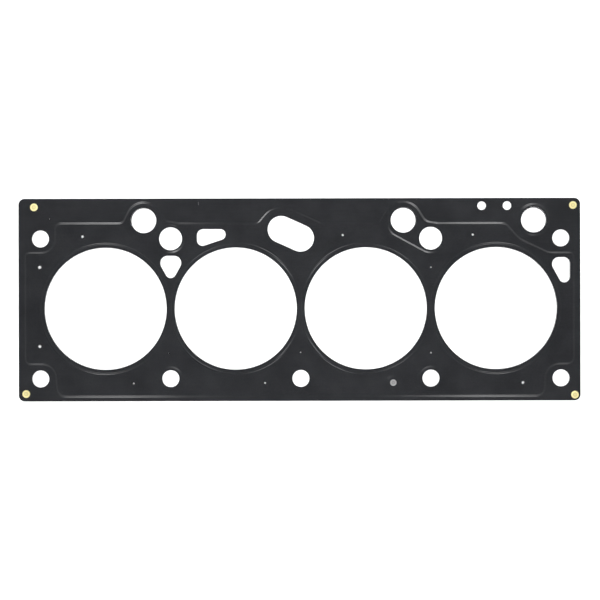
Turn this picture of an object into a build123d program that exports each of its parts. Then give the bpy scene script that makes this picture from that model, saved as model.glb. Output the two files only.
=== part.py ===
from build123d import *
import math
import os

os.makedirs("parts", exist_ok=True)

# Multi-layer steel cylinder head gasket for a 2.0 litre in-line four.
# All sizes in millimetres.  The sheet lies flat, +Z up, +X along the row of
# cylinders, +Y towards the side with the oil and breather passages.
# The frame's origin is the bottom centre of the whole gasket's box; the bolt
# and cylinder pattern has its own datum, GRID, on the axis of the cylinders.

# ---------------------------------------------------------------- dimensions
PITCH = 91.8                    # cylinder and bolt pitch along X
BORE_R = 43.1                   # fire ring edge of each cylinder opening
BOLT_Y = 49.4                   # bolt rows either side of the cylinder axis
BOLT_R = 6.0                    # plain bolt clearance holes
DOWEL_R = 8.1                   # bolt holes that also clear a hollow dowel
EDGE_LEFT, EDGE_RIGHT = -199.05, 197.30      # outline, from GRID
EDGE_FRONT, EDGE_BACK = -65.25, 77.70
CORNER_R = 4.2
GRID_X = -(EDGE_LEFT + EDGE_RIGHT) / 2       # GRID in the part's frame
GRID_Y = -(EDGE_FRONT + EDGE_BACK) / 2

T_PRESSED = 0.25                # embossed outer sheets, spring steel
T_CENTRE = 0.45                 # flat distance sheet
BEAD_H = 0.22                   # height of every bead, free state
T_STOPPER = 0.12                # stopper ring welded round each cylinder

HALF_BEAD_W = 1.8               # plan width of the coolant half-bead's slope
SEAT_BEAD_W = 1.1               # same, round the bolt and oil holes
SLOT_R = 9.55                   # oblong oil passage with a bolt through it
RING_IN, RING_LOW_IN, RING_LOW_OUT, RING_OUT = 45.25, 45.75, 46.15, 46.70
RING_DEPTH = 0.10               # trough of the bead round each cylinder

# Heights of the stack, from the plane that the gasket rests on.
Z_LOW_SHEET = BEAD_H                         # underside of the lower flange
Z_CENTRE = Z_LOW_SHEET + T_PRESSED
Z_UP_SHEET = Z_CENTRE + T_CENTRE             # underside of the upper flange
Z_UP_FLANGE = Z_UP_SHEET + T_PRESSED
Z_TOP = Z_UP_FLANGE + BEAD_H
Z_MID = Z_TOP / 2

BORE_X = [-1.5 * PITCH, -0.5 * PITCH, 0.5 * PITCH, 1.5 * PITCH]
BOLTS = [(-2 * PITCH, BOLT_Y), (2 * PITCH, BOLT_Y)] + [
    (i * PITCH, -BOLT_Y) for i in (-2, -1, 0, 1, 2)
]
DOWELS = [(-PITCH, BOLT_Y), (PITCH, BOLT_Y)]
OIL_R = 9.1                     # round oil and breather passages
OIL_HOLES = [(-110.9, 62.4), (72.7, 62.4), (164.45, 62.4)]
SMALL_R = 3.1                   # two oil pressure holes near the back edge
SMALL_HOLES = [(127.85, 72.3), (145.75, 72.3)]
SLOT_ENDS = [(-13.7, 55.8), (-0.1, 49.65)]

# Coolant passages: each is the hull of three circles (x, y, radius).
WATER_D = [(-68.75, 51.70, 4.50), (-69.15, 48.40, 4.10), (-56.80, 52.30, 3.90)]
WATER_CENTRE = [(-94.00, 32.20, 5.20), (-89.50, 32.20, 5.20), (-91.75, 25.50, 3.90)]
WATER_END = [(182.30, 30.90, 5.00), (185.85, 31.65, 4.25), (186.10, 21.95, 4.00)]

# Metering holes for the coolant (x, y, radius), and two pierced sight marks.
METER = [
    (-153.96, 51.00, 0.95), (-184.24, 29.35, 1.15), (-184.20, -26.45, 1.10),
    (-118.00, -52.70, 0.60), (-25.30, -52.50, 0.66), (29.70, 51.70, 0.80),
    (121.50, 51.90, 0.80), (156.70, -52.60, 0.95),
    (-0.15, -31.00, 0.50), (91.80, 28.90, 0.60), (91.80, -31.40, 0.60),
]
PINHOLES = [(-92.9, -31.4, 0.50), (-176.9, 63.4, 0.45), (-72.1, 74.6, 0.40)]

RIVET_SHANK_R = 1.6
CORNER_HEAD_R = 2.75
CORNER_RIVETS = {
    "corner_rivet_back_left": (-188.15, 71.75),
    "corner_rivet_back_right": (192.20, 72.55),
    "corner_rivet_front_left": (-193.85, -60.00),
    "corner_rivet_front_right": (193.40, -61.25),
}
SEAM_RIVET = (65.20, -52.50)
SEAM_SHANK_R = 1.3
SEAM_HEAD_R = 2.30

# Half-bead round the coolant jacket: corner points of its mid-line and the
# radius of each corner, clockwise from the left end.  The jacket side is
# raised; the flange outside it lies on the distance sheet.
JACKET = [
    ((-194.30, 39.60), 3.2), ((-173.20, 39.60), 10.0), ((-173.20, 60.30), 4.0),
    ((-125.70, 60.30), 4.0), ((-118.30, 74.90), 12.0), ((-104.70, 74.90), 11.9),
    ((-95.20, 62.00), 5.0), ((-86.00, 60.20), 10.0), ((-30.20, 60.00), 5.0),
    ((-17.76, 74.75), 15.6), ((14.80, 59.90), 10.0), ((55.10, 59.90), 6.0),
    ((63.90, 75.10), 9.0), ((79.60, 75.10), 12.6), ((88.30, 61.20), 7.0),
    ((97.00, 60.00), 10.0), ((144.40, 60.00), 7.0), ((154.40, 48.95), 12.0),
    ((175.20, 39.10), 10.5), ((192.70, 39.10), 3.5), ((192.70, -39.30), 5.0),
    ((173.10, -39.30), 10.2), ((171.60, -62.00), 6.0), ((-171.50, -62.00), 6.5),
    ((-173.30, -39.00), 10.2), ((-194.30, -39.00), 4.0),
]
# Low seat shared by the second oil passage and its dowel hole.
TWIN_SEAT = [
    ((61.90, 73.20), 10.8), ((78.65, 73.20), 10.6), ((87.30, 59.30), 5.0),
    ((101.60, 59.30), 9.8), ((101.60, 39.40), 9.9), ((88.85, 39.40), 10.0),
    ((61.90, 54.15), 9.0),
]
DOWEL_SEAT_R = 9.6              # low ring seat round the first dowel hole
BOLT_SEAT_R = 8.2               # and round the three inner front bolts
SLOT_SEAT_R = 11.5
RIVET_SEAT_R = 3.6
DISC_R = 11.0                   # raised disc round the third oil passage
ROUND_SEATS = [
    (*DOWELS[0], DOWEL_SEAT_R), (-PITCH, -BOLT_Y, BOLT_SEAT_R), (0, -BOLT_Y, BOLT_SEAT_R),
    (PITCH, -BOLT_Y, BOLT_SEAT_R), (*SEAM_RIVET, RIVET_SEAT_R),
]


def grid(z):
    """Sketch plane at height z, with its origin on GRID."""
    return Plane(origin=(GRID_X, GRID_Y, z))


def slope(width):
    """Taper in degrees of a bead slope of this plan width."""
    return math.degrees(math.atan(width / BEAD_H))


CUT = 0.03                      # cutters run this far past a face


def hull_hole(circles):
    """Sketch of a passage: the hull of its corner circles."""
    with BuildSketch(mode=Mode.PRIVATE) as hole:
        for x, y, r in circles:
            with Locations((x, y)):
                Circle(r)
        make_hull()
    return hole.sketch


# ------------------------------------------------------------ embossed relief
# The raised area of a pressed sheet as a solid: a frustum inside the jacket
# half-bead, less the low seats and the groove of the full bead round each
# cylinder, plus the disc round the third oil passage.
with BuildPart() as relief:
    with BuildSketch(grid(0)):
        with BuildLine():
            FilletPolyline(*[p for p, r in JACKET], radius=[r for p, r in JACKET], close=True)
        make_face()
        offset(amount=HALF_BEAD_W / 2)
    extrude(amount=BEAD_H, taper=slope(HALF_BEAD_W))

    # Low seats: each flares from its floor to the raised level.
    spread = SEAT_BEAD_W / BEAD_H * CUT
    for z, grow in ((-CUT, -SEAT_BEAD_W / 2 - spread), (BEAD_H + CUT, SEAT_BEAD_W / 2 + spread)):
        with BuildSketch(grid(z)):
            with BuildLine():
                FilletPolyline(*[p for p, r in TWIN_SEAT], radius=[r for p, r in TWIN_SEAT], close=True)
            make_face()
            offset(amount=grow)
    loft(ruled=True, mode=Mode.SUBTRACT)

    for z, grow in ((-CUT, -SEAT_BEAD_W / 2 - spread), (BEAD_H + CUT, SEAT_BEAD_W / 2 + spread)):
        with BuildSketch(grid(z)):
            add(hull_hole([(x, y, SLOT_SEAT_R + grow) for x, y in SLOT_ENDS]))
    loft(ruled=True, mode=Mode.SUBTRACT)

    for x, y, r in ROUND_SEATS:
        with Locations((GRID_X + x, GRID_Y + y, -CUT)):
            Cone(
                r - SEAT_BEAD_W / 2 - spread, r + SEAT_BEAD_W / 2 + spread, BEAD_H + 2 * CUT,
                align=(Align.CENTER, Align.CENTER, Align.MIN), mode=Mode.SUBTRACT,
            )

    # Full bead round each cylinder: a trapezoid groove turned about the axis.
    over_in = (RING_LOW_IN - RING_IN) * CUT / RING_DEPTH
    over_out = (RING_OUT - RING_LOW_OUT) * CUT / RING_DEPTH
    for x in BORE_X:
        with BuildSketch(Plane(origin=(GRID_X + x, GRID_Y, 0), x_dir=(1, 0, 0), z_dir=(0, -1, 0))):
            with BuildLine():
                Polyline(
                    (RING_LOW_IN, BEAD_H - RING_DEPTH), (RING_LOW_OUT, BEAD_H - RING_DEPTH),
                    (RING_OUT + over_out, BEAD_H + CUT), (RING_IN - over_in, BEAD_H + CUT),
                    close=True,
                )
            make_face()
        revolve(axis=Axis((GRID_X + x, GRID_Y, 0), (0, 0, 1)), mode=Mode.SUBTRACT)

    with Locations((GRID_X + OIL_HOLES[2][0], GRID_Y + OIL_HOLES[2][1], 0)):
        Cone(
            DISC_R + SEAT_BEAD_W / 2, DISC_R - SEAT_BEAD_W / 2, BEAD_H,
            align=(Align.CENTER, Align.CENTER, Align.MIN),
        )

# ---------------------------------------------------------- upper pressed sheet
with BuildPart() as upper_sheet:
    with BuildSketch(Plane.XY.offset(Z_UP_SHEET)):
        Rectangle(EDGE_RIGHT - EDGE_LEFT, EDGE_BACK - EDGE_FRONT)
        fillet(vertices(), CORNER_R)
    extrude(amount=T_PRESSED)
    add(relief.part.moved(Location((0, 0, Z_UP_FLANGE))))
    add(relief.part.moved(Location((0, 0, Z_UP_SHEET))), mode=Mode.SUBTRACT)

    # Every opening, pierced through flange and relief together.
    with BuildSketch(grid(Z_UP_SHEET - CUT)):
        with Locations(*[(x, 0) for x in BORE_X]):
            Circle(BORE_R)
        with Locations(*BOLTS):
            Circle(BOLT_R)
        with Locations(*DOWELS):
            Circle(DOWEL_R)
        with Locations(*OIL_HOLES):
            Circle(OIL_R)
        with Locations(*SMALL_HOLES):
            Circle(SMALL_R)
        with Locations(*CORNER_RIVETS.values()):
            Circle(RIVET_SHANK_R)
        with Locations(SEAM_RIVET):
            Circle(SEAM_SHANK_R)
        for x, y, r in METER:
            with Locations((x, y)):
                Circle(r)
        add(hull_hole([(x, y, SLOT_R) for x, y in SLOT_ENDS]))
        add(hull_hole(WATER_D))
        add(hull_hole(WATER_CENTRE))
        add(hull_hole(WATER_END))
    extrude(amount=Z_TOP - Z_UP_SHEET + 2 * CUT, mode=Mode.SUBTRACT)
upper_blank = upper_sheet.part

# ---------------------------------------------------------- lower pressed sheet
# The same pressing turned over, before the pinholes of the upper one.
with BuildPart() as lower_sheet:
    mirror(objects=upper_blank, about=Plane.XY.offset(Z_MID))

with BuildPart() as upper_sheet:
    add(upper_blank)
    with BuildSketch(grid(Z_UP_SHEET - CUT)):
        for x, y, r in PINHOLES:
            with Locations((x, y)):
                Circle(r)
    extrude(amount=Z_TOP - Z_UP_SHEET + 2 * CUT, mode=Mode.SUBTRACT)

# --------------------------------------------------------------- centre sheet
# Flat distance sheet.  Its oil holes are a little smaller and drawn towards
# the cylinders, so a crescent of it shows past the sheet above.
CENTRE_OIL_R = 8.75
CENTRE_OIL = [(-110.60, 62.10), (72.40, 62.10), (164.40, 62.05)]
with BuildPart() as centre_sheet:
    with BuildSketch(Plane.XY.offset(Z_CENTRE)):
        Rectangle(EDGE_RIGHT - EDGE_LEFT - 0.3, EDGE_BACK - EDGE_FRONT - 0.3)
        fillet(vertices(), CORNER_R)
    extrude(amount=T_CENTRE)
    with BuildSketch(grid(Z_CENTRE - CUT)):
        with Locations(*[(x, 0) for x in BORE_X]):
            Circle(BORE_R)
        with Locations(*BOLTS):
            Circle(BOLT_R)
        with Locations(*DOWELS):
            Circle(DOWEL_R + 0.1)
        with Locations(*CENTRE_OIL):
            Circle(CENTRE_OIL_R)
        with Locations(*SMALL_HOLES):
            Circle(SMALL_R + 0.1)
        with Locations(*CORNER_RIVETS.values()):
            Circle(RIVET_SHANK_R)
        with Locations(SEAM_RIVET):
            Circle(SEAM_SHANK_R)
        for x, y, r in METER:
            with Locations((x, y)):
                Circle(r - 0.05)
        add(hull_hole([(x, y, SLOT_R + 0.1) for x, y in SLOT_ENDS]))
        add(hull_hole([(x, y, r + 0.1) for x, y, r in WATER_D]))
        add(hull_hole([(x, y, r + 0.1) for x, y, r in WATER_CENTRE]))
        add(hull_hole([(x, y, r + 0.1) for x, y, r in WATER_END]))
    extrude(amount=T_CENTRE + 2 * CUT, mode=Mode.SUBTRACT)

# -------------------------------------------------------------- stopper rings
# One thin ring welded to the distance sheet round each cylinder, inside the
# full bead, under the raised lip of the upper sheet.
STOPPER_IN, STOPPER_OUT = BORE_R + 0.15, RING_IN - 0.10
stoppers = []
for number, x in enumerate(BORE_X, start=1):
    with BuildPart() as stopper:
        with BuildSketch(grid(Z_UP_SHEET)):
            with Locations((x, 0)):
                Circle(STOPPER_OUT)
                Circle(STOPPER_IN, mode=Mode.SUBTRACT)
        extrude(amount=T_STOPPER)
    stopper.part.label = f"stopper_ring_{number}"
    stoppers.append(stopper)


# --------------------------------------------------------------------- rivets
def rivet(x, y, shank_r, head_r, rise):
    """Solid rivet, both ends upset: a rolled rim round a shallow dish."""
    base = Z_LOW_SHEET
    top = Z_UP_FLANGE
    crest_r = head_r * 0.72
    dish_r = head_r * 0.42
    with BuildPart() as body:
        with BuildSketch(Plane(origin=(GRID_X + x, GRID_Y + y, 0), x_dir=(1, 0, 0), z_dir=(0, -1, 0))):
            with BuildLine():
                Polyline((0, base - rise * 0.6), (0, top + rise * 0.6), (dish_r, top + rise * 0.6))
                Spline((dish_r, top + rise * 0.6), (crest_r, top + rise), tangents=((1, 0), (1, 0)))
                EllipticalCenterArc((crest_r, top), head_r - crest_r, rise, start_angle=0, arc_size=90)
                Polyline((head_r, top), (shank_r, top), (shank_r, base), (head_r, base))
                EllipticalCenterArc((crest_r, base), head_r - crest_r, rise, start_angle=270, arc_size=90)
                Spline((crest_r, base - rise), (dish_r, base - rise * 0.6), tangents=((-1, 0), (-1, 0)))
                Line((dish_r, base - rise * 0.6), (0, base - rise * 0.6))
            make_face()
        revolve(axis=Axis((GRID_X + x, GRID_Y + y, 0), (0, 0, 1)))
    return body


corner_rivets = []
for name, (x, y) in CORNER_RIVETS.items():
    piece = rivet(x, y, RIVET_SHANK_R, CORNER_HEAD_R, 0.20)
    piece.part.label = name
    corner_rivets.append(piece)

seam_rivet = rivet(SEAM_RIVET[0], SEAM_RIVET[1], SEAM_SHANK_R, SEAM_HEAD_R, 0.18)
seam_rivet.part.label = "seam_rivet"

# --------------------------------------------------------------------- export
upper_sheet.part.label = "upper_sheet"
centre_sheet.part.label = "centre_sheet"
lower_sheet.part.label = "lower_sheet"

for piece in [upper_sheet, centre_sheet, lower_sheet, *stoppers, *corner_rivets, seam_rivet]:
    export_step(piece.part, f"parts/{piece.part.label}.step")
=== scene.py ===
import math

import bpy
import numpy as np
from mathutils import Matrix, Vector
from mathutils.geometry import delaunay_2d_cdt


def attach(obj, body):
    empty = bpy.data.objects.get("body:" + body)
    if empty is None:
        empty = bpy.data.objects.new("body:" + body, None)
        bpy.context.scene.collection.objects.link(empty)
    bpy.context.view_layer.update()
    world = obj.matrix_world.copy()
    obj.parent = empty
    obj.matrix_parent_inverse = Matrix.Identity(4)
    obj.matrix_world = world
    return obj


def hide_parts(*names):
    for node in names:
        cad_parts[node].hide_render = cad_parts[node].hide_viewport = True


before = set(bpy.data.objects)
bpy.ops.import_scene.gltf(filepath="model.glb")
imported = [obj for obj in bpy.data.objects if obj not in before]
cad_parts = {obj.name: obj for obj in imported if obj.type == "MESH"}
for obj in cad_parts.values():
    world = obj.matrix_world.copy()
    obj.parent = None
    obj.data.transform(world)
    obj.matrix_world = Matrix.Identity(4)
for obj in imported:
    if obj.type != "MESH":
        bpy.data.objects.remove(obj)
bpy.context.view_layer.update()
MM = 0.001

# ------------------------------------------------------------------ dimensions
# Millimetres, from GRID, the centre of the bolt and cylinder pattern.
GRID = (0.875, -6.225)
PITCH, BORE_R, BOLT_Y, BOLT_R, DOWEL_R = 91.8, 43.1, 49.4, 6.0, 8.1
LEFT, RIGHT, FRONT, BACK, CORNER_R = -199.05, 197.30, -65.25, 77.70, 4.2
T_PRESSED, T_CENTRE, BEAD_H = 0.25, 0.45, 0.22
Z_UP_FLANGE = BEAD_H + T_PRESSED + T_CENTRE + T_PRESSED
Z_TOP = Z_UP_FLANGE + BEAD_H

BORE_X = [-1.5 * PITCH, -0.5 * PITCH, 0.5 * PITCH, 1.5 * PITCH]
BOLTS = [(-2 * PITCH, BOLT_Y), (2 * PITCH, BOLT_Y)] + [(i * PITCH, -BOLT_Y) for i in (-2, -1, 0, 1, 2)]
DOWELS = [(-PITCH, BOLT_Y), (PITCH, BOLT_Y)]
OIL_R, OIL_HOLES = 9.1, [(-110.9, 62.4), (72.7, 62.4), (164.45, 62.4)]
SMALL_R, SMALL_HOLES = 3.1, [(127.85, 72.3), (145.75, 72.3)]
SLOT_R, SLOT_ENDS = 9.55, [(-13.7, 55.8), (-0.1, 49.65)]
WATER = [
    [(-68.75, 51.70, 4.50), (-69.15, 48.40, 4.10), (-56.80, 52.30, 3.90)],
    [(-94.00, 32.20, 5.20), (-89.50, 32.20, 5.20), (-91.75, 25.50, 3.90)],
    [(182.30, 30.90, 5.00), (185.85, 31.65, 4.25), (186.10, 21.95, 4.00)],
]
METER = [
    (-153.96, 51.00, 0.95), (-184.24, 29.35, 1.15), (-184.20, -26.45, 1.10),
    (-118.00, -52.70, 0.60), (-25.30, -52.50, 0.66), (29.70, 51.70, 0.80),
    (121.50, 51.90, 0.80), (156.70, -52.60, 0.95),
    (-0.15, -31.00, 0.50), (91.80, 28.90, 0.60), (91.80, -31.40, 0.60),
]
PINHOLES = [(-92.9, -31.4, 0.50), (-176.9, 63.4, 0.45), (-72.1, 74.6, 0.40)]
CORNER_RIVETS = {
    "corner_rivet_back_left": (-188.15, 71.75), "corner_rivet_back_right": (192.20, 72.55),
    "corner_rivet_front_left": (-193.85, -60.00), "corner_rivet_front_right": (193.40, -61.25),
}
SEAM_RIVET = (65.20, -52.50)
JACKET = [
    ((-194.30, 39.60), 3.2), ((-173.20, 39.60), 10.0), ((-173.20, 60.30), 4.0),
    ((-125.70, 60.30), 4.0), ((-118.30, 74.90), 12.0), ((-104.70, 74.90), 11.9),
    ((-95.20, 62.00), 5.0), ((-86.00, 60.20), 10.0), ((-30.20, 60.00), 5.0),
    ((-17.76, 74.75), 15.6), ((14.80, 59.90), 10.0), ((55.10, 59.90), 6.0),
    ((63.90, 75.10), 9.0), ((79.60, 75.10), 12.6), ((88.30, 61.20), 7.0),
    ((97.00, 60.00), 10.0), ((144.40, 60.00), 7.0), ((154.40, 48.95), 12.0),
    ((175.20, 39.10), 10.5), ((192.70, 39.10), 3.5), ((192.70, -39.30), 5.0),
    ((173.10, -39.30), 10.2), ((171.60, -62.00), 6.0), ((-171.50, -62.00), 6.5),
    ((-173.30, -39.00), 10.2), ((-194.30, -39.00), 4.0),
]
TWIN_SEAT = [
    ((61.90, 73.20), 10.8), ((78.65, 73.20), 10.6), ((87.30, 59.30), 5.0),
    ((101.60, 59.30), 9.8), ((101.60, 39.40), 9.9), ((88.85, 39.40), 10.0),
    ((61.90, 54.15), 9.0),
]

# Widths in plan of the rounded slopes, wider than a straight fold's because
# the metal bends in and out of the flat over a radius.
W_JACKET = 1.75
W_SEAT = 1.6
W_SOFT = 2.7                    # the shallower dishes round the front bolts and the slot
W_RING = 0.55
RING_IN_MID, RING_OUT_MID, RING_DEPTH = 45.50, 46.42, 0.10
RIM = 0.05                      # width of the rolled-over lip of a sheared edge


# ------------------------------------------------------------------ plane curves
class Path:
    """Closed smooth curve of lines and arcs, anticlockwise."""

    def __init__(self):
        self.parts = []         # ("line", start, direction, length) or ("arc", centre, radius, a0, sweep)

    @staticmethod
    def rounded(corners):
        path, n = Path(), len(corners)
        pts = [np.array(p, float) for p, _ in corners]
        cut = []
        for i, (_, r) in enumerate(corners):
            a = pts[i] - pts[i - 1]
            b = pts[(i + 1) % n] - pts[i]
            a, b = a / np.linalg.norm(a), b / np.linalg.norm(b)
            turn = math.atan2(a[0] * b[1] - a[1] * b[0], a @ b)
            t = r * math.tan(abs(turn) / 2)
            s = 1 if turn > 0 else -1
            start = pts[i] - a * t
            centre = start + s * r * np.array((-a[1], a[0]))
            d = start - centre
            cut.append((start, centre, r, math.atan2(d[1], d[0]), turn, pts[i] + b * t))
        for i in range(n):
            start, centre, r, a0, turn, end = cut[i]
            path.parts.append(("arc", centre, r, a0, turn))
            nxt = cut[(i + 1) % n][0]
            d = nxt - end
            edge = pts[(i + 1) % n] - pts[i]
            edge = edge / np.linalg.norm(edge)
            path.parts.append(("line", end, edge, max(float(d @ edge), 0.0)))
        return path

    @staticmethod
    def circle(x, y, r):
        path = Path()
        path.parts.append(("arc", np.array((x, y), float), r, 0.0, 2 * math.pi))
        return path

    @staticmethod
    def hull(circles):
        path = Path()
        mx = sum(c[0] for c in circles) / len(circles)
        my = sum(c[1] for c in circles) / len(circles)
        circles = sorted(circles, key=lambda c: math.atan2(c[1] - my, c[0] - mx))
        n = len(circles)
        normals = []
        for i in range(n):
            (x0, y0, r0), (x1, y1, r1) = circles[i], circles[(i + 1) % n]
            d = np.array((x1 - x0, y1 - y0))
            length = np.linalg.norm(d)
            d = d / length
            s = (r0 - r1) / length
            normals.append(s * d + math.sqrt(1 - s * s) * np.array((d[1], -d[0])))
        for i in range(n):
            x, y, r = circles[i]
            m0, m1 = normals[i - 1], normals[i]
            a0, a1 = math.atan2(m0[1], m0[0]), math.atan2(m1[1], m1[0])
            path.parts.append(("arc", np.array((x, y)), r, a0, (a1 - a0) % (2 * math.pi)))
            x1, y1, r1 = circles[(i + 1) % n]
            p0 = np.array((x, y)) + r * m1
            p1 = np.array((x1, y1)) + r1 * m1
            d = p1 - p0
            path.parts.append(("line", p0, d / np.linalg.norm(d), float(np.linalg.norm(d))))
        return path

    def points(self, offset=0.0, arc_step=1.1, line_step=4.0, min_arc=3):
        """Loop of points on the curve moved outwards by offset."""
        out = []
        for part in self.parts:
            if part[0] == "arc":
                _, c, r, a0, sweep = part
                rr = r + (offset if sweep > 0 else -offset)
                n = max(min_arc, int(math.ceil(abs(sweep) * r / arc_step)), int(math.ceil(abs(sweep) / 0.22)))
                for a in a0 + sweep * np.arange(n) / n:
                    out.append((c[0] + rr * math.cos(a), c[1] + rr * math.sin(a)))
            else:
                _, p, d, length = part
                if length < 1e-6:
                    continue
                n = max(1, int(math.ceil(length / line_step)))
                normal = np.array((d[1], -d[0]))
                for t in length * np.arange(n) / n:
                    q = p + d * t + normal * offset
                    out.append((q[0], q[1]))
        return out

    def inside(self, pts):
        """Signed distance of many points from the curve, positive inside."""
        best = np.full(len(pts), 1e9)
        signed = np.zeros(len(pts))
        for part in self.parts:
            if part[0] == "arc":
                _, c, r, a0, sweep = part
                rel = pts - c
                rad = np.hypot(rel[:, 0], rel[:, 1])
                mid = a0 + sweep / 2
                ang = np.abs((np.arctan2(rel[:, 1], rel[:, 0]) - mid + math.pi) % (2 * math.pi) - math.pi)
                s = (r - rad) * (1 if sweep > 0 else -1)
                dist = np.where(ang <= abs(sweep) / 2 + 1e-9, np.abs(s), 1e9)
            else:
                _, p, d, length = part
                rel = pts - p
                t = np.clip(rel @ d, 0, length)
                near = rel - t[:, None] * d
                dist = np.hypot(near[:, 0], near[:, 1])
                s = np.sign(d[0] * rel[:, 1] - d[1] * rel[:, 0]) * dist
            better = dist < best
            best = np.where(better, dist, best)
            signed = np.where(better, s, signed)
        return signed


def outline_path():
    return Path.rounded([
        ((RIGHT, FRONT), CORNER_R), ((RIGHT, BACK), CORNER_R), ((LEFT, BACK), CORNER_R), ((LEFT, FRONT), CORNER_R),
    ])


jacket = Path.rounded(JACKET[::-1])       # listed clockwise
low_seats = [                             # curve, width of its slope, share of the bead's height it sinks
    (Path.rounded(TWIN_SEAT[::-1]), W_SEAT, 1.0),
    (Path.hull([(x, y, 11.5) for x, y in SLOT_ENDS]), W_SOFT, 1.0),
    (Path.circle(*DOWELS[0], 9.6), W_SEAT, 1.0),
    (Path.circle(-PITCH, -BOLT_Y, 8.2), W_SOFT, 0.70),
    (Path.circle(0, -BOLT_Y, 8.2), W_SOFT, 0.85),
    (Path.circle(PITCH, -BOLT_Y, 8.2), W_SOFT, 0.70),
    (Path.circle(*SEAM_RIVET, 4.7), 4.0, 1.0),
]
disc = Path.circle(*OIL_HOLES[2], 11.0)
openings = (
    [Path.circle(x, 0, BORE_R) for x in BORE_X]
    + [Path.circle(x, y, BOLT_R) for x, y in BOLTS]
    + [Path.circle(x, y, DOWEL_R) for x, y in DOWELS]
    + [Path.circle(x, y, OIL_R) for x, y in OIL_HOLES]
    + [Path.circle(x, y, SMALL_R) for x, y in SMALL_HOLES]
    + [Path.hull([(x, y, SLOT_R) for x, y in SLOT_ENDS])]
    + [Path.hull(c) for c in WATER]
    + [Path.circle(x, y, r) for x, y, r in METER]
    + [Path.circle(x, y, 1.6) for x, y in CORNER_RIVETS.values()]
    + [Path.circle(*SEAM_RIVET, 1.3)]
)
pinholes = [Path.circle(x, y, r) for x, y, r in PINHOLES]


def ease(t):
    t = np.clip(t, 0, 1)
    return 0.5 - 0.5 * np.cos(np.pi * t)


def relief(p):
    """Height of the pressed relief over the flange, in mm, at many points."""
    h = ease(jacket.inside(p) / W_JACKET + 0.5)
    for seat, width, sink in low_seats:
        h = h * (1 - sink * ease(seat.inside(p) / width + 0.5))
    for x in BORE_X:
        r = np.hypot(p[:, 0] - x, p[:, 1])
        low = ease((r - RING_IN_MID) / W_RING + 0.5) * (1 - ease((r - RING_OUT_MID) / W_RING + 0.5))
        h = h * (1 - low * RING_DEPTH / BEAD_H)
    d = ease(disc.inside(p) / W_SEAT + 0.5)
    return BEAD_H * (1 - (1 - h) * (1 - d))


def slopes(p, e=0.01):
    dx, dy = np.array((e, 0.0)), np.array((0.0, e))
    return (
        (relief(p + dx) - relief(p - dx)) / (2 * e),
        (relief(p + dy) - relief(p - dy)) / (2 * e),
    )


# ------------------------------------------------------------------ sheet mesh
def triangulate():
    """Plan of a pressed sheet as triangles whose edges follow every bead and opening."""
    verts, edges = [], []

    def loop(points):
        first = len(verts)
        verts.extend(points)
        edges.extend((first + i, first + (i + 1) % len(points)) for i in range(len(points)))

    outline = outline_path()
    loop(outline.points(0, 0.8, 5.0))
    loop(outline.points(-RIM, 0.8, 5.0))
    for k, path in enumerate(openings + pinholes):
        r = path.parts[0][2]
        step = 1.3 if r > 20 else 0.9 if r > 3.5 else 0.5
        loop(path.points(0, step, 2.0, 4))
        loop(path.points(RIM, step, 2.0, 4))
    levels = (-0.5, -0.36, -0.24, -0.12, 0.0, 0.12, 0.24, 0.36, 0.5)
    for f in levels:
        loop(jacket.points(f * W_JACKET, 1.0, 3.0))
        for seat, width, sink in low_seats:
            loop(seat.points(f * width, 0.9, 3.0))
        loop(disc.points(f * W_SEAT, 0.9))
        for x in BORE_X:
            loop(Path.circle(x, 0, RING_IN_MID + f * W_RING).points(0, 1.35))
            loop(Path.circle(x, 0, RING_OUT_MID + f * W_RING).points(0, 1.35))
    co, _, faces, _, _, _ = delaunay_2d_cdt([Vector(v) for v in verts], edges, [], 0, 1e-4)
    co = np.array([(v[0], v[1]) for v in co])
    faces = np.array([f for f in faces if len(f) == 3], int)
    a, b, c = co[faces[:, 0]], co[faces[:, 1]], co[faces[:, 2]]
    area = (b[:, 0] - a[:, 0]) * (c[:, 1] - a[:, 1]) - (b[:, 1] - a[:, 1]) * (c[:, 0] - a[:, 0])
    faces = np.where((area < 0)[:, None], faces[:, ::-1], faces)
    mid = (a + b + c) / 3
    # a cut-out's own facets lie inside its curve by the sagitta, so the test curve is the facets' own
    keep = polygon_holds(outline.points(0, 0.8, 5.0), mid)
    pin = np.zeros(len(mid), bool)
    for k, path in enumerate(openings + pinholes):
        r = path.parts[0][2]
        step = 1.3 if r > 20 else 0.9 if r > 3.5 else 0.5
        near = polygon_holds(path.points(0, step, 2.0, 4), mid)
        if k < len(openings):
            keep &= ~near
        else:
            pin |= near
    return co, faces[keep], pin[keep]


def polygon_holds(poly, pts):
    poly = np.array(poly)
    lo, hi = poly.min(0), poly.max(0)
    box = np.all((pts >= lo) & (pts <= hi), axis=1)
    out = np.zeros(len(pts), bool)
    q = pts[box]
    odd = np.zeros(len(q), bool)
    for (x0, y0), (x1, y1) in zip(poly, np.roll(poly, -1, 0)):
        cross = (y0 > q[:, 1]) != (y1 > q[:, 1])
        with np.errstate(divide="ignore", invalid="ignore"):
            at = (x1 - x0) * (q[:, 1] - y0) / (y1 - y0) + x0
        odd ^= cross & (q[:, 0] < at)
    out[box] = odd
    return out


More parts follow.
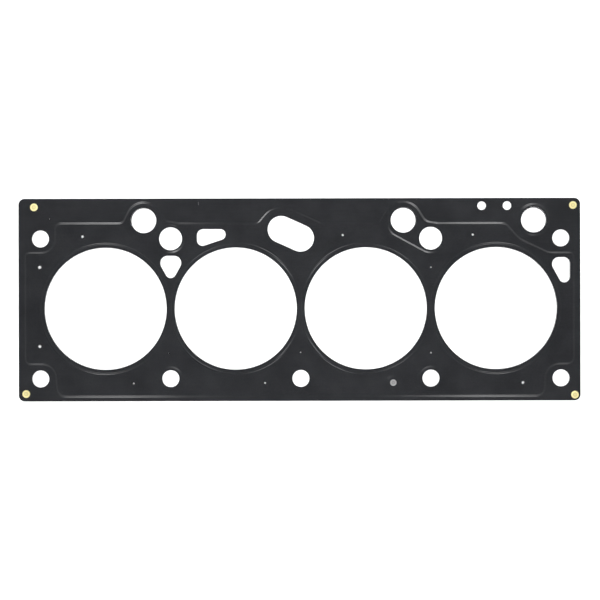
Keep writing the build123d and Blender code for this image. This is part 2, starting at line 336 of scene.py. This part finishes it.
def pressed_sheet(name, co, faces, base, flip):
    """Closed mesh of one pressed sheet. base is the outer face of its flange; flip turns the relief downwards."""
    used = np.unique(faces)
    index = np.full(len(co), -1)
    index[used] = np.arange(len(used))
    co, faces = co[used], index[faces]
    n = len(co)
    side = {}
    for tri in faces:
        for i in range(3):
            e = (int(tri[i]), int(tri[(i + 1) % 3]))
            if (e[1], e[0]) in side:
                del side[(e[1], e[0])]
            else:
                side[e] = True
    rim_edges = list(side)
    out_n = np.zeros((n, 2))
    for i, j in rim_edges:
        d = co[j] - co[i]
        m = np.array((d[1], -d[0])) / max(np.linalg.norm(d), 1e-9)
        out_n[i] += m
        out_n[j] += m
    length = np.hypot(out_n[:, 0], out_n[:, 1])
    on_rim = length > 1e-6
    out_n[on_rim] /= length[on_rim][:, None]

    h = relief(co)
    hx, hy = slopes(co)
    s = -1.0 if flip else 1.0
    outer = base + s * h
    inner = outer - s * T_PRESSED
    outer = np.where(on_rim, outer - s * RIM * 0.8, outer)
    flat = np.stack((-hx, -hy, np.ones(n)), 1)
    flat /= np.linalg.norm(flat, axis=1)[:, None]
    flat[:, 2] *= s
    soft = np.stack((out_n[:, 0], out_n[:, 1], np.full(n, s)), 1) / math.sqrt(2)
    n_outer = np.where(on_rim[:, None], soft, flat)
    n_inner = -flat

    x = (co[:, 0] + GRID[0]) * MM
    y = (co[:, 1] + GRID[1]) * MM
    points = np.concatenate((np.stack((x, y, outer * MM), 1), np.stack((x, y, inner * MM), 1)))
    top = faces if s > 0 else faces[:, ::-1]
    under = (faces[:, ::-1] if s > 0 else faces) + n
    polys = [tuple(t) for t in top] + [tuple(t) for t in under]
    loops = list(n_outer[top.reshape(-1)]) + list(n_inner[(under - n).reshape(-1)])
    wall_first = len(polys)
    for i, j in rim_edges:
        wi = np.array((out_n[i][0], out_n[i][1], 0.0))
        wj = np.array((out_n[j][0], out_n[j][1], 0.0))
        if s > 0:
            polys.append((j, i, i + n, j + n))
            loops += [wj, wi, wi, wj]
        else:
            polys.append((i, j, j + n, i + n))
            loops += [wi, wj, wj, wi]
    mesh = bpy.data.meshes.new(name)
    mesh.from_pydata(points.tolist(), [], polys)
    mesh.polygons.foreach_set("use_smooth", [True] * len(polys))
    mats = np.zeros(len(polys), np.int32)
    mats[wall_first:] = 1
    mesh.polygons.foreach_set("material_index", mats)
    mesh.normals_split_custom_set(np.array(loops, np.float32))
    mesh.update()
    obj = bpy.data.objects.new(name, mesh)
    bpy.context.scene.collection.objects.link(obj)
    return obj


# ------------------------------------------------------------------ rivets
def rivet(name, x, y, shank_r, head_r, rise, segments=72):
    """Turned rivet, both ends upset: a rolled rim round a shallow dish."""
    low, high = BEAD_H, Z_UP_FLANGE
    crest, dish = head_r * 0.72, head_r * 0.42
    profile = []            # from the top's centre outwards and down
    profile.append((0.0, high + rise * 0.58))
    profile.append((dish * 0.45, high + rise * 0.58))
    profile.append((dish * 0.8, high + rise * 0.585))
    for t in np.linspace(0, 1, 9):
        profile.append((dish + (crest - dish) * t, high + rise * (0.6 + 0.4 * (0.5 - 0.5 * math.cos(math.pi * t)))))
    for a in np.linspace(0, math.pi / 2, 13)[1:]:
        profile.append((crest + (head_r - crest) * math.sin(a), high + rise * math.cos(a)))
    profile.append((shank_r, high))
    half = len(profile)
    profile += [(r, low + high - z) for r, z in profile[::-1]]
    verts, faces = [], []
    rows = []
    for r, z in profile:
        if r < 1e-9:
            rows.append([len(verts)])
            verts.append(((x + GRID[0]) * MM, (y + GRID[1]) * MM, z * MM))
            continue
        row = []
        for k in range(segments):
            a = 2 * math.pi * k / segments
            row.append(len(verts))
            verts.append(((x + GRID[0] + r * math.cos(a)) * MM, (y + GRID[1] + r * math.sin(a)) * MM, z * MM))
        rows.append(row)
    for a, b in zip(rows, rows[1:]):
        for k in range(segments):
            m = (k + 1) % segments
            if len(a) == 1:
                faces.append((a[0], b[k], b[m]))
            elif len(b) == 1:
                faces.append((a[m], a[k], b[0]))
            else:
                faces.append((a[m], a[k], b[k], b[m]))
    mesh = bpy.data.meshes.new(name)
    mesh.from_pydata(verts, [], faces)
    mesh.polygons.foreach_set("use_smooth", [True] * len(faces))
    mesh.update()
    # the seat under each head meets the shank and the head's edge at a corner
    mesh.set_sharp_from_angle(angle=math.radians(50))
    # painted shade: the head's colour is darkened over the dish, most at its corner, and towards its outer edge,
    # leaving the rolled rim at full tone
    painted_shade = mesh.attributes.new("painted_shade", "FLOAT", "POINT")
    at = [math.hypot(v[0] / MM - x - GRID[0], v[1] / MM - y - GRID[1]) / head_r for v in verts]
    painted_shade.data.foreach_set("value", np.interp(at, (0.0, 0.30, 0.43, 0.58, 0.80, 0.93, 1.0), (0.55, 0.50, 0.10, 0.75, 1.0, 0.7, 0.0)))
    obj = bpy.data.objects.new(name, mesh)
    bpy.context.scene.collection.objects.link(obj)
    return obj


# ------------------------------------------------------------------ materials
def material(name):
    m = bpy.data.materials.new(name)
    m.use_nodes = True
    nodes, links = m.node_tree.nodes, m.node_tree.links
    return m, nodes, links, nodes["Principled BSDF"]


def noise(nodes, links, vector, scale, detail=3.0, rough=0.5):
    n = nodes.new("ShaderNodeTexNoise")
    n.inputs["Scale"].default_value = scale
    n.inputs["Detail"].default_value = detail
    n.inputs["Roughness"].default_value = rough
    links.new(vector, n.inputs["Vector"])
    return n


def ramp(nodes, links, fac, stops):
    r = nodes.new("ShaderNodeValToRGB")
    r.color_ramp.elements[0].position, r.color_ramp.elements[0].color = stops[0][0], (*stops[0][1], 1)
    r.color_ramp.elements[1].position, r.color_ramp.elements[1].color = stops[-1][0], (*stops[-1][1], 1)
    for pos, col in stops[1:-1]:
        e = r.color_ramp.elements.new(pos)
        e.color = (*col, 1)
    links.new(fac, r.inputs["Fac"])
    return r


def remap(nodes, links, value, lo, hi):
    n = nodes.new("ShaderNodeMapRange")
    n.inputs["From Min"].default_value, n.inputs["From Max"].default_value = 0.3, 0.7
    n.inputs["To Min"].default_value, n.inputs["To Max"].default_value = lo, hi
    links.new(value, n.inputs["Value"])
    return n.outputs["Result"]


def with_painted_shade(nodes, links, colour, painted_shade_min):
    """Painted shade: colour darkened where the mesh's per-point shade attribute is low."""
    painted_shade = nodes.new("ShaderNodeAttribute")
    painted_shade.attribute_name = "painted_shade"
    level = nodes.new("ShaderNodeMapRange")
    level.inputs["To Min"].default_value = painted_shade_min
    links.new(painted_shade.outputs["Fac"], level.inputs["Value"])
    scale = nodes.new("ShaderNodeVectorMath")
    scale.operation = "SCALE"
    links.new(colour, scale.inputs[0])
    links.new(level.outputs["Result"], scale.inputs["Scale"])
    return scale.outputs["Vector"]


def coated_steel():
    """Thin charcoal rubber coating: faint cloudiness, roller grain along the sheet and a fine pebble."""
    m, nodes, links, bsdf = material("coated_steel")
    tc = nodes.new("ShaderNodeTexCoord").outputs["Object"]
    cloud = noise(nodes, links, tc, 42.0, 4.0, 0.55)
    grain_map = nodes.new("ShaderNodeMapping")
    grain_map.inputs["Scale"].default_value = (55.0, 1100.0, 1100.0)
    links.new(tc, grain_map.inputs["Vector"])
    grain = noise(nodes, links, grain_map.outputs["Vector"], 1.0, 3.0, 0.6)
    pebble = noise(nodes, links, tc, 2600.0, 2.0, 0.55)
    mix = nodes.new("ShaderNodeMix")
    mix.data_type = "FLOAT"
    mix.inputs["Factor"].default_value = 0.20
    links.new(cloud.outputs["Fac"], mix.inputs["A"])
    links.new(grain.outputs["Fac"], mix.inputs["B"])
    tone = ramp(nodes, links, mix.outputs["Result"], [(0.36, (0.0131, 0.0137, 0.0151)), (0.64, (0.0175, 0.0182, 0.0199))])
    mottle = nodes.new("ShaderNodeVectorMath")
    mottle.operation = "SCALE"
    links.new(tone.outputs["Color"], mottle.inputs[0])
    links.new(remap(nodes, links, pebble.outputs["Fac"], 0.82, 1.18), mottle.inputs["Scale"])
    links.new(mottle.outputs["Vector"], bsdf.inputs["Base Color"])
    links.new(remap(nodes, links, mix.outputs["Result"], 0.11, 0.135), bsdf.inputs["Roughness"])
    bump1 = nodes.new("ShaderNodeBump")
    bump1.inputs["Strength"].default_value = 0.12
    bump1.inputs["Distance"].default_value = 0.00002
    links.new(pebble.outputs["Fac"], bump1.inputs["Height"])
    bump2 = nodes.new("ShaderNodeBump")
    bump2.inputs["Strength"].default_value = 0.05
    bump2.inputs["Distance"].default_value = 0.00003
    links.new(grain.outputs["Fac"], bump2.inputs["Height"])
    links.new(bump1.outputs["Normal"], bump2.inputs["Normal"])
    links.new(bump2.outputs["Normal"], bsdf.inputs["Normal"])
    bsdf.inputs["IOR"].default_value = 1.33
    return m


def bare_steel(name, tone_lo, tone_hi, rough_lo, rough_hi, painted_shade_min=None):
    """Cold rolled spring steel, left bare: fine rolling lines and a faint cloud, plus painted shade from the mesh's
    attribute when a shade level is given.
    """
    m, nodes, links, bsdf = material(name)
    tc = nodes.new("ShaderNodeTexCoord").outputs["Object"]
    lines = nodes.new("ShaderNodeMapping")
    lines.inputs["Scale"].default_value = (90.0, 5200.0, 2400.0)
    links.new(tc, lines.inputs["Vector"])
    roll = noise(nodes, links, lines.outputs["Vector"], 1.0, 4.0, 0.6)
    cloud = noise(nodes, links, tc, 120.0, 3.0, 0.5)
    mix = nodes.new("ShaderNodeMix")
    mix.data_type = "FLOAT"
    mix.inputs["Factor"].default_value = 0.5
    links.new(cloud.outputs["Fac"], mix.inputs["A"])
    links.new(roll.outputs["Fac"], mix.inputs["B"])
    tone = ramp(nodes, links, mix.outputs["Result"], [(0.35, tone_lo), (0.65, tone_hi)])
    colour = tone.outputs["Color"] if painted_shade_min is None else with_painted_shade(nodes, links, tone.outputs["Color"], painted_shade_min)
    links.new(colour, bsdf.inputs["Base Color"])
    links.new(remap(nodes, links, mix.outputs["Result"], rough_lo, rough_hi), bsdf.inputs["Roughness"])
    bsdf.inputs["Metallic"].default_value = 1.0
    bump = nodes.new("ShaderNodeBump")
    bump.inputs["Strength"].default_value = 0.12
    bump.inputs["Distance"].default_value = 0.00001
    links.new(roll.outputs["Fac"], bump.inputs["Height"])
    links.new(bump.outputs["Normal"], bsdf.inputs["Normal"])
    return m


def brass():
    """Bright yellow brass, upset cold: painted shade in rings across the head and small tarnish clouds."""
    m, nodes, links, bsdf = material("brass_rivet")
    tc = nodes.new("ShaderNodeTexCoord").outputs["Object"]
    cloud = noise(nodes, links, tc, 900.0, 3.0, 0.55)
    fine = noise(nodes, links, tc, 5200.0, 2.0, 0.5)
    tone = ramp(nodes, links, cloud.outputs["Fac"], [(0.3, (0.86, 0.77, 0.38)), (0.7, (0.95, 0.86, 0.45))])
    # painted shade over the head's dish and towards its edge
    links.new(with_painted_shade(nodes, links, tone.outputs["Color"], 0.66), bsdf.inputs["Base Color"])
    links.new(remap(nodes, links, cloud.outputs["Fac"], 0.46, 0.56), bsdf.inputs["Roughness"])
    bsdf.inputs["Metallic"].default_value = 1.0
    bump = nodes.new("ShaderNodeBump")
    bump.inputs["Strength"].default_value = 0.15
    bump.inputs["Distance"].default_value = 0.00001
    links.new(fine.outputs["Fac"], bump.inputs["Height"])
    links.new(bump.outputs["Normal"], bsdf.inputs["Normal"])
    return m


mat_coat = coated_steel()
mat_edge = bare_steel("sheared_edge", (0.34, 0.34, 0.35), (0.52, 0.52, 0.53), 0.30, 0.46)
mat_core = bare_steel("bare_steel", (0.46, 0.46, 0.47), (0.62, 0.62, 0.63), 0.12, 0.17)
# the rivet's steel takes painted shade over its head's dish and towards its edge
mat_rivet = bare_steel("rivet_steel", (0.37, 0.37, 0.37), (0.49, 0.49, 0.49), 0.62, 0.72, 0.6)
mat_brass = brass()

# ------------------------------------------------------------------ pieces
plan, tris, in_pin = triangulate()
upper = pressed_sheet("upper_sheet_formed", plan, tris[~in_pin], Z_UP_FLANGE, False)
lower = pressed_sheet("lower_sheet_formed", plan, tris, BEAD_H, True)
for piece, node in ((upper, "upper_sheet"), (lower, "lower_sheet")):
    piece.data.materials.append(mat_coat)
    piece.data.materials.append(mat_edge)
    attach(piece, "root")
    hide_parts(node)

for node, (x, y) in CORNER_RIVETS.items():
    piece = rivet(node + "_turned", x, y, 1.6, 2.75, 0.20)
    piece.data.materials.append(mat_brass)
    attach(piece, "root")
    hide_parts(node)
piece = rivet("seam_rivet_turned", *SEAM_RIVET, 1.3, 2.30, 0.18)
piece.data.materials.append(mat_rivet)
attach(piece, "root")
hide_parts("seam_rivet")

for node in ["centre_sheet"] + [f"stopper_ring_{i}" for i in range(1, 5)]:
    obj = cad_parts[node]
    if not obj.material_slots:
        obj.data.materials.append(mat_core)
    for s in obj.material_slots:
        s.material = mat_core

# ------------------------------------------------------------------ floor, light, camera
floor_mesh = bpy.data.meshes.new("floor")
R = 14.0
floor_mesh.from_pydata([(-R, -R, -0.00003), (R, -R, -0.00003), (R, R, -0.00003), (-R, R, -0.00003)], [], [(0, 1, 2, 3)])
floor = bpy.data.objects.new("floor", floor_mesh)
bpy.context.scene.collection.objects.link(floor)
fm, fn, fl, fb = material("floor_paper")
fb.inputs["Base Color"].default_value = (0.90, 0.90, 0.90, 1)
fb.inputs["Roughness"].default_value = 0.85
fb.inputs["Specular IOR Level"].default_value = 0.2
floor_mesh.materials.append(fm)


def panel(name, at, size, radiance, shape="ELLIPSE"):
    """Flat light facing straight down; radiance is its brightness as seen from below."""
    data = bpy.data.lights.new(name, "AREA")
    data.shape = shape
    data.size, data.size_y = size
    area = size[0] * size[1] * (math.pi / 4 if shape == "ELLIPSE" else 1)
    data.energy = radiance * math.pi * area
    obj = bpy.data.objects.new(name, data)
    bpy.context.scene.collection.objects.link(obj)
    obj.location = at
    return obj


# Four softboxes a metre up, each brighter towards its middle. They stand outside the angle at
# which the flat sheet mirrors anything into the camera, so only the beads pick them up.
RINGS_OF_LIGHT = ((0.520, 0.390, 0.46, 0.30, 0.08), (0.385, 0.450, 0.45, 0.42, 0.07),
                  (0.370, 0.440, 0.32, 0.35, 0.16), (0.365, 0.430, 0.22, 0.29, 0.31),
                  (0.365, 0.430, 0.14, 0.24, 0.40))
for sx, sy, level in ((-1, 1, 1.0), (1, 1, 0.95), (-1, -1, 0.85), (1, -1, 0.85)):
    side = f"{'right' if sx > 0 else 'left'}_{'back' if sy > 0 else 'front'}"
    for k, (x, y, w, d, share) in enumerate(RINGS_OF_LIGHT):
        panel(f"softbox_{side}_{k}", (sx * x, sy * y, 1.0 + 0.002 * k), (w, d), 15.5 * level * share)
# A wide ceiling light fills evenly out to the floor's far edge. It has no reflection of its own.
fill = panel("ceiling", (0, 0, 7.0), (26.0, 26.0), 0.62, "RECTANGLE")
fill.visible_glossy = False
# A small lamp low over the middle, so that the sheet falls off slightly towards its ends.
lamp = panel("lamp", (0, 0, 0.30), (0.20, 0.20), 4.5)
lamp.visible_glossy = False

world = bpy.data.worlds.new("studio")
bpy.context.scene.world = world
world.use_nodes = True
wn, wl = world.node_tree.nodes, world.node_tree.links
wtc = wn.new("ShaderNodeTexCoord")
wsep = wn.new("ShaderNodeSeparateXYZ")
wl.new(wtc.outputs["Generated"], wsep.inputs["Vector"])
wr = wn.new("ShaderNodeValToRGB")
wr.color_ramp.elements[0].position, wr.color_ramp.elements[0].color = 0.0, (1.0, 1.0, 1.0, 1)
wr.color_ramp.elements[1].position, wr.color_ramp.elements[1].color = 0.93, (0.027, 0.027, 0.030, 1)
for at, level in ((0.12, 0.92), (0.50, 0.82), (0.70, 0.68), (0.80, 0.52), (0.885, 0.27)):
    e = wr.color_ramp.elements.new(at)
    e.color = (level, level, level * 1.01, 1)
wl.new(wsep.outputs["Z"], wr.inputs["Fac"])
wl.new(wr.outputs["Color"], wn["Background"].inputs["Color"])
wn["Background"].inputs["Strength"].default_value = 1.05

scene = bpy.context.scene
scene.view_settings.view_transform = "Standard"
scene.view_settings.look = "None"
scene.view_settings.exposure = 0.0
scene.view_settings.gamma = 1.0

CAMERA_H = 0.600
cam_data = bpy.data.cameras.new("camera")
cam_data.sensor_width = 36.0
cam_data.lens = 36.0 * CAMERA_H * 1000 / 423.4
cam = bpy.data.objects.new("camera", cam_data)
scene.collection.objects.link(cam)
cam.location = (0.351 * MM, -0.278 * MM, Z_UP_FLANGE * MM + CAMERA_H)
cam.rotation_euler = (0, 0, -0.00221)
cam_data.clip_start, cam_data.clip_end = 0.01, 50.0
scene.camera = cam

bpy.context.view_layer.update()
